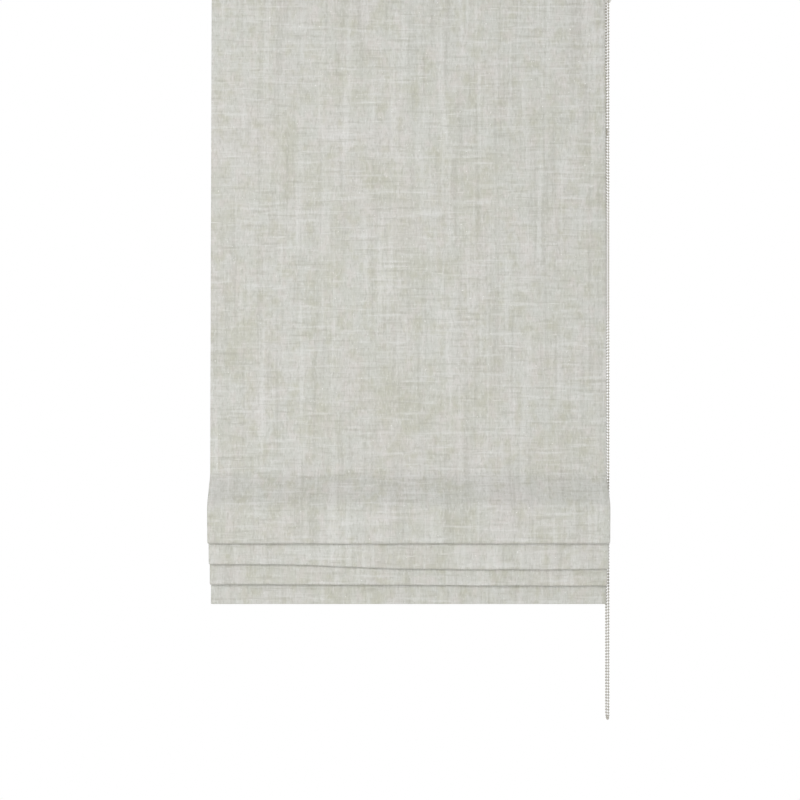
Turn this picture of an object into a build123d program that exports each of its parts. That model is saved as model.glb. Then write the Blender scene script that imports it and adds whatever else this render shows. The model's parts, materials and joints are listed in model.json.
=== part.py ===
from build123d import *
import math
import os

os.makedirs("parts", exist_ok=True)

# A lined roman blind, part raised. X runs along the width, the front faces -Y and +Z is up.
# The origin is in the middle of the brackets' top face, and everything hangs below it.

# Cloth
fabric_width = 800.0
hem_height = -1268.0  # bottom edge of the hem below the fixing face
cloth_top = -5.0
face_thickness = 0.8
lining_thickness = 0.4
layer_gap = 0.2
lining_inset = 10.0  # the side hems cover the lining's edge by this much
front_bend = 30.0
leg_bend = 9.0
crest_bend = 2.7
crest_roundness = 0.9
crest_lean = 45.0
hem_step = 2.8  # the hem panel hangs this far in front of its crest

# Folds, from the front one to the back one, measured up from the hem
fold_bottoms = (128.0, 80.0, 41.0)
fold_fronts = (48.0, 31.0, 16.0)  # how far each fold hangs in front of the flat cloth
fold_widths = (12.0, 10.0, 8.6)
fold_roundness = 0.96
front_lead = 12.0  # flat cloth below the top gathered rod
front_slope = 60.0  # height over which the front fold then comes forward
top_rod_height = 276.0  # top gathered rod above the hem
rod_pitch = 38.0
first_rod_drop = 117.0  # flat cloth above the first rod
flat_rods = 3
gathered_rods = 4

# Rods and the pockets that hold them
rod_radius = 2.0
rod_end_gap = 10.0  # the rods stop this far short of the cloth's edge
rod_cap_wall = 0.7
rod_cap_length = 8.0
rod_cap_end = 1.5
pocket_clearance = 0.4
pocket_sink = 0.2
snug = 0.05  # gap between a cap and what it is pushed on

# Cord guides
guide_wall = 1.2
guide_width = 8.0
guide_clearance = 0.3
guide_mouth = 58.0  # half the mouth's angle in degrees
eye_hole_radius = 1.6
eye_wall = 1.6
eye_height = 4.0
guide_web = 1.8
web_margin = 0.5  # the web stops this far short of the eye's hole

# Toggles under the lowest guides
toggle_clearance = 0.2
toggle_top_radius = 2.6
toggle_skirt_radius = 3.6
toggle_foot_radius = 3.2
toggle_skirt = 9.0
toggle_length = 12.0
cord_tail = 10.0  # the cord runs this far into its toggle

# Bottom bar in its hem
hem_bend = 2.2
hem_roundness = 0.95
hem_turn_up = 35.0
bar_thickness = 3.0
bar_height = 20.0
bar_end_gap = 15.0
bar_lift = 3.2
bar_corner = 1.0
bar_cap_wall = 0.3
bar_cap_end = 0.9
bar_cap_length = 10.0
lining_end_gap = 2.0  # the lining stops this far above the bar

# Headrail
rail_depth = 40.0
rail_height = 30.0
rail_top = -4.0
drive_inset = 14.0  # the rail stops this far short of the cloth's right edge
rail_wall = 1.3
rail_lip = 6.0
rail_corner = 1.5
tape_height = 20.0
tape_thickness = 1.2
tape_recess = 0.8
groove_play = 0.4
tape_end_gap = 6.0
tape_top_margin = 5.0
end_plate = 4.0
end_plate_corner = 3.0
end_plate_round = 1.2
plug_length = 12.0
plug_clearance = 0.2
plug_wall = 2.0

# Axle, drums and cradles
axle_height = -19.5
axle_side = 6.0
axle_edge = 0.5
axle_tail = 7.0  # beyond the left drum
axle_reach = 10.0  # past the rail's end, into the drive
square_clearance = 0.1
cord_inset = 100.0  # the outer cords' distance from the cloth's edges
cord_radius = 0.7
drum_radius = 7.3
drum_flange_height = 2.1
drum_length = 36.0
drum_flange = 1.5
drum_taper = 6.0
journal_wall = 0.6
journal_length = 3.4
running_clearance = 0.08
turns_length = 19.0
turns_gap = 0.3
turns_clearance = 0.075
cradle_wall = 2.4
cradle_base = 1.8
cradle_gap = 0.4
cradle_corner = 2.0
cradle_throat = 0.86  # half the throat that a journal snaps through, as a share of its radius
cradle_side_height = 13.0
cradle_slot_length = 23.4
cord_slot_length = 9.0
cord_slot_width = 5.0
cord_start = 5.6  # below the axle, where the cord has left the drum

# Chain drive
chain_offset = 21.0  # the chain hangs this far beyond the rail's end
bead_radius = 2.25
bead_pitch = 6.0
sprocket_pockets = 15
chain_bottom = -1508.0
chain_clearance = 0.35
sprocket_width = 9.0
sprocket_rim = 1.2  # the flanges stand this far above the chain's centre
sprocket_gap = 0.5
groove_depth = 1.3  # the groove's floor lies this far below the beads
pocket_rib_width = 1.2
pocket_rib_sink = 0.2
base_plate = 3.0
spindle_wall = 2.0
hub_wall = 1.5
hub_clearance = 0.1
spring_wire = 1.2
spring_clearance = 0.05
spring_turns = 5
spring_fill = 0.8  # the share of each turn's pitch that the wire takes
spring_start_gap = 2.0
spring_end_gap = 1.0
skirt_start_gap = 1.0
skirt_gap = 0.35
skirt_wall = 1.2
hub_reach = 10.0  # the hub's reach into the rail
axle_end_play = 0.5
housing_depth = 40.0
housing_top = -1.0
housing_bottom = -38.6
housing_corner = 13.0
housing_wall = 1.4
housing_width = 28.0
housing_round = 1.2
chain_slot_margin = 1.0
chain_slot_height = 7.8
screw_radius = 1.5
screw_head_overlap = 1.4  # the wide head covers the sprocket's bore by this much
screw_head_height = 0.7
screw_length = 9.0
screw_tip_gap = 0.5

# Brackets and their swivel latches
bracket_inset = 185.0  # the screw holes' distance from the cloth's edge
screw_hole_radius = 2.3
screw_spacing = 18.0
bracket_length = 44.0
bracket_thickness = 2.0
bracket_corner = 4.0
bracket_overhang = 8.0  # plate beyond the screw holes
latch_offset = 19.0  # latch pivot beyond the screw holes
rib_thickness = 1.5
rib_length = 11.0
latch_play = 0.2
latch_boss_radius = 4.5
cam_end_gap = 1.7  # between the cam's ends and the rail's walls
cam_width = 10.0
cam_thickness = 2.0
lever_overhang = 9.0  # the lever's reach behind the rail
lever_width = 9.0
lever_thickness = 1.4
rivet_radius = 2.0
rivet_head_radius = 3.8
rivet_head_height = 0.9
rivet_play = 0.1
rivet_recess = 0.3  # the rivet's top lies this far below the fixing face

# Chain connector
connector_wall = 0.7
connector_length = 13.0
connector_height = -310.0

# Places worked out from the sizes above
half_width = fabric_width / 2
rod_length = fabric_width - 2 * rod_end_gap
bar_length = fabric_width - 2 * bar_end_gap
rail_left = end_plate - half_width
rail_right = half_width - drive_inset
tape_length = rail_right - rail_left - 2 * tape_end_gap
cord_places = (cord_inset - half_width, 0.0, half_width - cord_inset)
axle_left = cord_places[0] - drum_length / 2 - axle_tail
axle_right = rail_right + axle_reach
axle_socket_corner = (axle_side + 2 * square_clearance) / math.sqrt(2)
drum_flange_radius = drum_radius + drum_flange_height
journal_radius = axle_socket_corner + journal_wall
hub_radius = axle_socket_corner + hub_wall
hub_left = rail_right - hub_reach
spindle_radius = hub_radius + hub_clearance + spindle_wall
chain_plane = rail_right + chain_offset
housing_right = rail_right + housing_width
bracket_place = half_width - bracket_inset
bracket_depth = rail_depth
latch_place = bracket_place + latch_offset
cam_length = rail_depth - 2 * rail_wall - 2 * cam_end_gap
lever_reach = rail_depth / 2 + lever_overhang
connector_radius = bead_radius + snug + connector_wall
rail_bottom = rail_top - rail_height
recess_face = -rail_depth / 2 + tape_recess
hook_front = recess_face - tape_thickness
loop_front = hook_front - tape_thickness
cloth_plane = loop_front - lining_thickness - layer_gap / 2
pocket_inner = rod_radius + rod_cap_wall + pocket_clearance
pocket_outer = pocket_inner + lining_thickness
rod_plane = loop_front + pocket_outer - pocket_sink
cord_plane = -(drum_radius + cord_radius)
sprocket_pitch_radius = sprocket_pockets * bead_pitch / math.tau
top_rod = hem_height + top_rod_height
rod_spacing = (cloth_top - first_rod_drop - top_rod) / flat_rods
flat_rod_heights = [top_rod + rod_spacing * n for n in range(flat_rods, 0, -1)]
gathered_heights = [top_rod - rod_pitch * n for n in range(gathered_rods)]
crest_drop = pocket_outer - pocket_sink + layer_gap / 2 + lining_thickness
cam_low = rail_top - rail_wall - latch_play - cam_thickness


def save(part, node):
    """Write one node as its own STEP file."""
    part.label = node
    export_step(part, f"parts/{node}.step")


def group(parts):
    """Several separate solids as one node."""
    return Compound(children=list(parts))


def cylinder(radius, start, end, axis, centre=(0, 0)):
    """A round bar along X or Z from start to end."""
    if axis == "X":
        plane = Plane((start, centre[0], centre[1]), x_dir=(0, 1, 0), z_dir=(1, 0, 0))
    else:
        plane = Plane((centre[0], centre[1], start))
    return extrude(plane * Circle(radius), end - start)


def tube(outer, inner, start, end, axis, centre=(0, 0)):
    """A round sleeve along X or Z from start to end."""
    return cylinder(outer, start, end, axis, centre) - cylinder(inner, start, end, axis, centre)


def block(low, high):
    """A box between two corners."""
    size = [h - l for l, h in zip(low, high)]
    middle = [(h + l) / 2 for l, h in zip(low, high)]
    return Pos(*middle) * Box(*size)


def side_plane(x):
    """The YZ plane at x, with Y to the right and Z up."""
    return Plane((x, 0, 0), x_dir=(0, 1, 0), z_dir=(1, 0, 0))


def side_extrusion(sketch, start, end):
    """A YZ outline carried along X."""
    return extrude(side_plane(start) * sketch, end - start)


# Cloth path, from the top edge down to the hem


def cloth_corners():
    """Corner points and bends of the cloth's middle line, as (y, z), down to the hem's edge."""
    lean = math.radians(crest_lean)
    up = (math.sin(lean), math.cos(lean))
    leaving = top_rod - front_lead
    corners = [(cloth_plane, cloth_top), (cloth_plane, leaving)]
    corners += [(cloth_plane - fold_fronts[0], leaving - front_slope)]
    bends = [front_bend, front_bend]
    for n, bottom in enumerate(fold_bottoms):
        front = cloth_plane - fold_fronts[n]
        back = front + fold_widths[n]
        low = hem_height + bottom
        turn = fold_roundness * fold_widths[n] / 2
        crest_y = rod_plane - up[0] * crest_drop
        crest_z = gathered_heights[n + 1] - up[1] * crest_drop
        rising = (crest_y - up[1] * crest_bend, crest_z + up[0] * crest_bend)
        falling = (crest_y + up[1] * crest_bend, crest_z - up[0] * crest_bend)
        last = n == len(fold_bottoms) - 1
        after = falling[0] - hem_step if last else cloth_plane - fold_fronts[n + 1]
        corners += [
            (front, low),
            (back, low),
            (back, rising[1] - (rising[0] - back) / math.tan(lean)),
            rising,
            falling,
            (after, falling[1] - (falling[0] - after) / math.tan(lean)),
        ]
        leg = leg_bend / (n + 1)
        bends += [turn, turn, leg, crest_roundness * crest_bend, crest_roundness * crest_bend, leg]
    corners += [(falling[0] - hem_step, hem_height)]
    return corners, bends


def shifted(corners, bends, distance):
    """The same path moved sideways by distance, towards the lining's side where it is positive."""
    moved = []
    radii = []
    for n, (y, z) in enumerate(corners):
        runs = [
            (Vector(*b) - Vector(*a)).normalized()
            for a, b in zip(corners[max(n - 1, 0) :], corners[max(n - 1, 0) + 1 : n + 2])
        ]
        normals = [Vector(-run.Y, run.X) for run in runs]
        if len(runs) == 1:
            step = normals[0] * distance
        else:
            step = (normals[0] + normals[1]) * (distance / (1 + normals[0].dot(normals[1])))
            turn = runs[0].X * runs[1].Y - runs[0].Y * runs[1].X
            radii.append(bends[n - 1] - distance * math.copysign(1, turn))
        moved.append((y + step.X, z + step.Y))
    return moved, radii


def ribbon(corners, bends, near, far):
    """The closed outline between two sideways shifts of a path."""
    one, one_bends = shifted(corners, bends, near)
    two, two_bends = shifted(corners, bends, far)
    first = FilletPolyline(*one, radius=one_bends)
    second = FilletPolyline(*two, radius=two_bends)
    ends = [Line(first @ 0, second @ 0), Line(first @ 1, second @ 1)]
    return make_face([*first.edges(), *second.edges(), *(e.edge() for e in ends)])


def make_face_fabric():
    """The linen front: flat above, three folds, and a hem turned up round the bottom bar."""
    corners, bends = cloth_corners()
    half = layer_gap / 2 + face_thickness / 2
    corners, bends = shifted(corners, bends, -half)
    hem_y = corners[-1][0]
    corners[-1] = (hem_y, hem_height + face_thickness / 2)
    corners += [
        (hem_y + 2 * hem_bend, hem_height + face_thickness / 2),
        (hem_y + 2 * hem_bend, hem_height + hem_turn_up),
    ]
    bends += [hem_roundness * hem_bend] * 2
    outline = ribbon(corners, bends, -face_thickness / 2, face_thickness / 2)
    return side_extrusion(outline, -half_width, half_width)


def make_lining():
    """The lining with a pocket for each rod stitched on its back."""
    corners, bends = cloth_corners()
    corners[-1] = (corners[-1][0], hem_height + bar_lift + bar_height + lining_end_gap)
    outline = ribbon(corners, bends, layer_gap / 2, layer_gap / 2 + lining_thickness)
    places = [Pos(rod_plane, z) for z in flat_rod_heights + gathered_heights]
    outline += [place * Circle(pocket_outer) for place in places]
    outline -= [place * Circle(pocket_inner) for place in places]
    return side_extrusion(outline, lining_inset - half_width, half_width - lining_inset)


# Rods, guides and the bottom bar


def make_rod(z):
    """A straight round rod across the width."""
    return cylinder(rod_radius, -rod_length / 2, rod_length / 2, "X", (rod_plane, z))


def make_rod_cap(z):
    """The blind cap on a rod's right end."""
    end = rod_length / 2 + rod_cap_end
    start = end - rod_cap_length
    outer = cylinder(rod_radius + rod_cap_wall, start, end, "X", (rod_plane, z))
    return outer - cylinder(rod_radius + snug, start, rod_length / 2 + snug, "X", (rod_plane, z))


def both_ends(part):
    """A part of the right end, and its mirror image at the left end."""
    return [mirror(part, Plane.YZ), part]


def make_rod_caps(heights):
    """The caps on both ends of one or more rods."""
    return group(cap for z in heights for cap in both_ends(make_rod_cap(z)))


def make_guide(x, z, mouth):
    """A clip that springs over a rod pocket, with an eye behind it for the lift cord."""
    inner = pocket_outer + guide_clearance
    outer = inner + guide_wall
    reach = 2 * outer
    spread = reach * math.tan(math.radians(guide_mouth))
    wedge = Polyline((0, 0), (-reach, spread), (-reach, -spread), close=True)
    ring = Circle(outer) - Circle(inner) - Rot(0, 0, mouth) * make_face(wedge)
    start = x - guide_width / 2
    clip = side_extrusion(Pos(rod_plane, z) * ring, start, start + guide_width)
    eye_radius = eye_hole_radius + eye_wall
    low = z - eye_height / 2
    eye = cylinder(eye_radius, low, low + eye_height, "Z", (x, cord_plane))
    web = block(
        (x - guide_web / 2, rod_plane + inner + guide_wall / 2, low),
        (x + guide_web / 2, cord_plane - eye_hole_radius - web_margin, low + eye_height),
    )
    hole = cylinder(eye_hole_radius, low, low + eye_height, "Z", (x, cord_plane))
    return clip + web + eye - hole


def make_guides(heights, mouth):
    """The guides of one or more rods, one for each lift cord."""
    return group(make_guide(x, z, mouth) for z in heights for x in cord_places)


def make_toggles(z):
    """A bell-shaped toggle under the lowest guide of each cord, which holds the cord's knot."""
    bore = cord_radius + toggle_clearance
    outline = Polyline(
        (bore, 0),
        (toggle_top_radius, 0),
        (toggle_skirt_radius, -toggle_skirt),
        (toggle_foot_radius, -toggle_length),
        (bore, -toggle_length),
        close=True,
    )
    toggle = revolve(Plane.XZ * make_face(outline), Axis.Z)
    top = z - eye_height / 2 - snug
    return group(Pos(x, cord_plane, top) * toggle for x in cord_places)


def bar_place():
    """Middle of the bottom bar, as (y, z)."""
    front = cloth_corners()[0][-1][0] - layer_gap / 2 - face_thickness / 2
    return front + hem_bend, hem_height + bar_lift + bar_height / 2


def bar_outline(growth):
    """The bottom bar's section with rounded edges, grown on every side."""
    thickness = bar_thickness - 2 * bar_cap_wall + 2 * growth
    return Pos(*bar_place()) * RectangleRounded(thickness, bar_height + 2 * growth, bar_corner + growth)


def make_bottom_bar():
    """A flat bar with rounded edges."""
    return side_extrusion(bar_outline(0), -bar_length / 2, bar_length / 2)


def make_bar_caps():
    """A thin sleeve cap on each end of the bottom bar."""
    tip = bar_length / 2
    end = tip + bar_cap_end
    shell = side_extrusion(bar_outline(bar_cap_wall), end - bar_cap_length, end)
    return group(both_ends(shell - side_extrusion(bar_outline(0), end - bar_cap_length, tip)))


# Headrail


def rail_outline():
    """Open-topped channel with lips turned in and a shallow groove for the tape."""
    middle = rail_top - rail_height / 2
    outer = Pos(0, middle) * RectangleRounded(rail_depth, rail_height, rail_corner)
    inner = Pos(0, middle) * Rectangle(rail_depth - 2 * rail_wall, rail_height - 2 * rail_wall)
    mouth = Pos(0, rail_top) * Rectangle(rail_depth - 2 * rail_lip, 4 * rail_wall)
    groove_z = rail_top - tape_top_margin - tape_height / 2
    groove = Pos(-rail_depth / 2, groove_z) * Rectangle(2 * tape_recess, tape_height + groove_play)
    backing_y = (rail_depth - 3 * rail_wall) / 2
    backing = Pos(-backing_y, groove_z) * Rectangle(rail_wall, tape_height + 2 * rail_wall)
    return outer - inner - mouth + backing - groove


def make_headrail():
    """The aluminium channel with a slot under each drum for its cord."""
    rail = side_extrusion(rail_outline(), rail_left, rail_right)
    for x in cord_places:
        slot = Plane((x, cord_plane, rail_bottom)) * SlotOverall(cord_slot_length, cord_slot_width)
        rail -= extrude(slot, 2 * rail_wall)
    return rail


def plug_outline(wall_clearance):
    """What slides in the channel's end."""
    depth = rail_depth - 4 * rail_wall - 2 * wall_clearance
    height = rail_height - 2 * rail_wall - 2 * wall_clearance
    return Pos(0, rail_top - rail_height / 2) * RectangleRounded(depth, height, rail_corner)


def make_plug(start, end):
    """The hollow plug that holds an end piece in the channel."""
    outline = plug_outline(plug_clearance) - plug_outline(plug_clearance + plug_wall)
    return side_extrusion(outline, start, end)


def make_end_cap():
    """The left end cap with a hollow plug."""
    middle = rail_top - rail_height / 2
    outline = Pos(0, middle) * RectangleRounded(rail_depth, rail_height, end_plate_corner)
    plate = side_extrusion(outline, rail_left - end_plate, rail_left)
    plate = fillet(plate.faces().sort_by(Axis.X)[0].edges(), end_plate_round)
    return plate + make_plug(rail_left, rail_left + plug_length)


def make_tapes():
    """The hook tape in the rail's groove and the loop tape on the cloth's back."""
    top = rail_top - tape_top_margin
    half = tape_length / 2
    offset = (rail_left + rail_right) / 2
    hook = block((offset - half, hook_front, top - tape_height), (offset + half, recess_face, top))
    loop = block(
        (lining_inset - half_width, loop_front, top - tape_height),
        (half_width - lining_inset, hook_front, top),
    )
    return hook, loop


# Axle, drums and cradles


def make_axle():
    """The square steel axle."""
    outline = Pos(0, axle_height) * RectangleRounded(axle_side, axle_side, axle_edge)
    return side_extrusion(outline, axle_left, axle_right)


def axle_socket(start, end):
    """The square hole that the axle slides in."""
    side = axle_side + 2 * square_clearance
    return side_extrusion(Pos(0, axle_height) * Rectangle(side, side), start, end)


def make_drum(x):
    """A cord drum: journals at both ends, a cone that pushes the turns along, and an end flange."""
    half = drum_length / 2
    body = half - journal_length
    outline = Polyline(
        (-half, 0),
        (-half, journal_radius),
        (-body, journal_radius),
        (-body, drum_flange_radius),
        (-body + drum_flange, drum_flange_radius),
        (-body + drum_flange + drum_taper, drum_radius),
        (body - drum_flange, drum_radius),
        (body - drum_flange, drum_flange_radius),
        (body, drum_flange_radius),
        (body, journal_radius),
        (half, journal_radius),
        (half, 0),
        close=True,
    )
    turned = revolve(make_face(outline), Axis.X)
    return Pos(x, 0, axle_height) * turned - axle_socket(x - half, x + half)


def make_cord_turns():
    """The cord wound on each drum, as the sleeve that its turns fill."""
    end = drum_length / 2 - journal_length - drum_flange - turns_gap
    outer = drum_radius + 2 * cord_radius
    inner = drum_radius + turns_clearance
    spans = [(x + end - turns_length, x + end) for x in cord_places]
    return group(tube(outer, inner, low, high, "X", (0, axle_height)) for low, high in spans)


def make_cradle(x):
    """A saddle that clips in the channel and carries one drum in two bearings."""
    floor = rail_bottom + rail_wall
    depth = rail_depth - 4 * rail_wall - 2 * cradle_gap
    top = rail_top - rail_wall - cradle_gap
    start = x - drum_length / 2 + cradle_gap
    end = x + drum_length / 2 - cradle_gap
    cheek = Pos(0, (floor + top) / 2) * RectangleRounded(depth, top - floor, cradle_corner)
    cheek -= Pos(0, axle_height) * Circle(journal_radius + running_clearance)
    throat_height = top + cradle_corner - axle_height
    throat = Rectangle(2 * cradle_throat * journal_radius, throat_height)
    cheek -= Pos(0, axle_height + throat_height / 2) * throat
    tray = Pos(0, floor + cradle_side_height / 2) * Rectangle(depth, cradle_side_height)
    inside = Pos(0, floor + cradle_base + cradle_side_height / 2)
    tray -= inside * Rectangle(depth - 2 * cradle_base, cradle_side_height)
    cradle = side_extrusion(tray, start, end)
    cradle += side_extrusion(cheek, start, start + cradle_wall)
    cradle += side_extrusion(cheek, end - cradle_wall, end)
    slot = Plane((x, cord_plane, floor)) * SlotOverall(cradle_slot_length, cord_slot_width)
    return cradle - extrude(slot, cradle_base)


def make_lift_cord(x):
    """The taut lift cord, from the drum through every guide to the toggle under the lowest rod."""
    end = gathered_heights[-1] - eye_height / 2 - cord_tail
    return cylinder(cord_radius, end, axle_height - cord_start, "Z", (x, cord_plane))


# Chain drive


def make_drive_base():
    """The fixed half of the chain drive: a plate with a plug for the rail and a hollow spindle."""
    face = rail_right + base_plate
    plate = side_extrusion(housing_outline(0), rail_right, face)
    spindle = cylinder(spindle_radius, face, spindle_end(), "X", (0, axle_height))
    bore = cylinder(hub_radius + hub_clearance, rail_right, spindle_end(), "X", (0, axle_height))
    return plate + make_plug(rail_right - plug_length, rail_right) + spindle - bore


def spindle_end():
    """Where the spindle stops short of the sprocket."""
    return chain_plane - sprocket_width / 2 - sprocket_gap


def housing_outline(inset):
    """The drive's end outline, drawn in by inset."""
    middle = (housing_top + housing_bottom) / 2
    height = housing_top - housing_bottom
    depth = housing_depth - 2 * inset
    return Pos(0, middle) * RectangleRounded(depth, height - 2 * inset, housing_corner - inset)


def make_drive_cover():
    """The cover over the sprocket, with two slots in its underside for the chain."""
    start = rail_right + base_plate
    shell = side_extrusion(housing_outline(0), start, housing_right)
    shell = fillet(shell.faces().sort_by(Axis.X)[-1].edges(), housing_round)
    shell -= side_extrusion(housing_outline(housing_wall), start, housing_right - housing_wall)
    reach = bead_radius + chain_slot_margin
    for y in (-sprocket_pitch_radius, sprocket_pitch_radius):
        shell -= block(
            (chain_plane - reach, y - reach, housing_bottom - housing_wall),
            (chain_plane + reach, y + reach, housing_bottom + chain_slot_height),
        )
    return shell


def make_sprocket():
    """The chain wheel: a grooved rim with ribs between the beads' pockets, and a skirt over the clutch."""
    left = chain_plane - sprocket_width / 2
    right = chain_plane + sprocket_width / 2
    centre = (0, axle_height)
    rim = sprocket_pitch_radius + sprocket_rim
    floor = sprocket_pitch_radius - bead_radius - groove_depth
    half_groove = bead_radius + chain_clearance
    wheel = cylinder(rim, left, right, "X", centre)
    wheel -= tube(rim, floor, chain_plane - half_groove, chain_plane + half_groove, "X", centre)
    rib_height = groove_depth - chain_clearance + pocket_rib_sink
    middle = floor - pocket_rib_sink + rib_height / 2
    rib = Pos(0, 0, middle) * Box(2 * (half_groove + pocket_rib_sink), pocket_rib_width, rib_height)
    for n in range(sprocket_pockets):
        wheel += Location((chain_plane, 0, axle_height), (360 * n / sprocket_pockets, 0, 0)) * rib
    skirt_inner = spindle_radius + spring_clearance + spring_wire + skirt_gap
    skirt_start = rail_right + base_plate + skirt_start_gap
    skirt = tube(skirt_inner + skirt_wall, skirt_inner, skirt_start, left, "X", centre)
    return wheel + skirt - cylinder(hub_radius + hub_clearance, left, right, "X", centre)


def make_clutch_spring():
    """The wrap spring of flat wire that grips the spindle."""
    start = rail_right + base_plate + spring_start_gap
    length = spindle_end() - spring_end_gap - start
    radius = spindle_radius + spring_clearance + spring_wire / 2
    pitch = length / (spring_turns + spring_fill)
    centre = Vector(start + spring_fill * pitch / 2, 0, axle_height)
    coil = Helix(pitch, pitch * spring_turns, radius, center=centre, direction=(1, 0, 0))
    section = Plane(coil @ 0, x_dir=coil @ 0 - centre, z_dir=coil % 0)
    return sweep(section * Rectangle(spring_wire, spring_fill * pitch), path=coil, is_frenet=True)


def make_clutch_hub():
    """The output hub that passes through the spindle and takes the axle's end."""
    end = chain_plane + sprocket_width / 2
    hub = cylinder(hub_radius, hub_left, end, "X", (0, axle_height))
    hub -= axle_socket(hub_left, axle_right + axle_end_play)
    return hub - cylinder(screw_radius, end - screw_length, end, "X", (0, axle_height))


def make_drive_screw():
    """The screw and its wide head that keep the sprocket on the hub."""
    end = chain_plane + sprocket_width / 2
    tip = end - screw_length + screw_tip_gap
    shank = cylinder(screw_radius - snug, tip, end, "X", (0, axle_height))
    head = cylinder(hub_radius + screw_head_overlap, end, end + screw_head_height, "X", (0, axle_height))
    return shank + head


def make_bead_chain():
    """The bead chain as a plain closed tube: over the sprocket, down, round the bottom and back."""
    low = chain_bottom + bead_radius + sprocket_pitch_radius
    radius = sprocket_pitch_radius
    with BuildLine(side_plane(chain_plane)) as route:
        Line((-radius, axle_height), (-radius, low))
        CenterArc((0, low), radius, 180, 180)
        Line((radius, low), (radius, axle_height))
        CenterArc((0, axle_height), radius, 0, 180)
    start = Plane((chain_plane, -radius, axle_height), z_dir=(0, 0, -1))
    print("bead chain radii", round(radius, 2), round(radius, 2), "mm, diameter", 2 * bead_radius)
    return sweep(start * Circle(bead_radius), path=route.wires()[0])


def make_connector():
    """The split sleeve that joins the chain's two ends on its back run."""
    place = (chain_plane, sprocket_pitch_radius)
    top = connector_height + connector_length
    return tube(connector_radius, bead_radius + snug, connector_height, top, "Z", place)


# Brackets


def make_bracket():
    """The right bracket: a plate with two screw holes, and ribs that rest on the rail's lips."""
    x = bracket_place
    start = x - bracket_overhang
    outline = RectangleRounded(bracket_length, bracket_depth, bracket_corner)
    plate = Pos(start + bracket_length / 2, 0, -bracket_thickness) * extrude(outline, bracket_thickness)
    near = bracket_depth / 2 - rib_thickness
    far = bracket_depth / 2
    rib_start = start + bracket_corner
    rib_end = start + bracket_length - bracket_corner
    plate += block((rib_start, -far, rail_top), (rib_end, -near, -bracket_thickness))
    plate += block((rib_start, near, rail_top), (rib_start + rib_length, far, -bracket_thickness))
    for y in (-screw_spacing / 2, screw_spacing / 2):
        plate -= cylinder(screw_hole_radius, -bracket_thickness, 0, "Z", (x, y))
    return plate - cylinder(rivet_radius + snug, -bracket_thickness, 0, "Z", (latch_place, 0))


def lengthwise_slot(start, end, width):
    """A plan outline along Y with round ends."""
    return Pos(0, (start + end) / 2) * Rot(0, 0, 90) * SlotOverall(end - start, width)


def make_latch():
    """The right swivel latch: a cam under the rail's lips and a finger lever above them."""
    boss_top = -bracket_thickness - latch_play
    cam_outline = lengthwise_slot(-cam_length / 2, cam_length / 2, cam_width)
    lever_outline = lengthwise_slot(-lever_width / 2, lever_reach, lever_width)
    cam = Pos(latch_place, 0, cam_low) * extrude(cam_outline, cam_thickness)
    lever = Pos(latch_place, 0, rail_top + latch_play) * extrude(lever_outline, lever_thickness)
    boss = cylinder(latch_boss_radius, cam_low, boss_top, "Z", (latch_place, 0))
    bore = cylinder(rivet_radius + running_clearance, cam_low, boss_top, "Z", (latch_place, 0))
    return cam + boss + lever - bore


def make_rivet():
    """The rivet that holds the right latch to its bracket."""
    head_top = cam_low - rivet_play
    shank = cylinder(rivet_radius, head_top, -rivet_recess, "Z", (latch_place, 0))
    return shank + cylinder(rivet_head_radius, head_top - rivet_head_height, head_top, "Z", (latch_place, 0))


save(make_headrail(), "headrail")
save(make_end_cap(), "end_cap")
hook_tape, loop_tape = make_tapes()
save(hook_tape, "hook_tape")
save(loop_tape, "loop_tape")
save(make_face_fabric(), "face_fabric")
save(make_lining(), "lining")

for number, height in enumerate(flat_rod_heights, start=1):
    save(make_rod(height), f"rod_{number}")
    save(make_rod_caps([height]), f"rod_{number}_caps")
    save(make_guides([height], 0), f"rod_{number}_guides")

for number, height in enumerate(gathered_heights, start=flat_rods + 1):
    save(make_rod(height), f"rod_{number}")
save(make_rod_caps(gathered_heights), "gathered_rod_caps")
save(
    group([*make_guides(gathered_heights[:1], 0), *make_guides(gathered_heights[1:], crest_lean)]),
    "gathered_guides",
)
save(make_toggles(gathered_heights[-1]), "cord_toggles")
save(make_bottom_bar(), "bottom_bar")
save(make_bar_caps(), "bottom_bar_caps")

save(make_axle(), "axle")
save(make_cord_turns(), "cord_turns")
for name, place in zip(("left", "middle", "right"), cord_places):
    save(make_drum(place), f"cord_drum_{name}")
    save(make_cradle(place), f"drum_cradle_{name}")
    save(make_lift_cord(place), f"lift_cord_{name}")

save(make_drive_base(), "drive_base")
save(make_drive_cover(), "drive_cover")
save(make_sprocket(), "chain_sprocket")
save(make_clutch_spring(), "clutch_spring")
save(make_clutch_hub(), "clutch_hub")
save(make_drive_screw(), "drive_screw")
save(make_bead_chain(), "bead_chain")
save(make_connector(), "chain_connector")

for name, bracket, latch in zip(("left", "right"), both_ends(make_bracket()), both_ends(make_latch())):
    save(bracket, f"bracket_{name}")
    save(latch, f"latch_{name}")
save(group(both_ends(make_rivet())), "latch_rivets")
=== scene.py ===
import json
import logging
import math
from collections.abc import Sequence
from dataclasses import dataclass, field
from enum import Enum

import bmesh
import bpy
from mathutils import Matrix, Vector, noise


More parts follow.
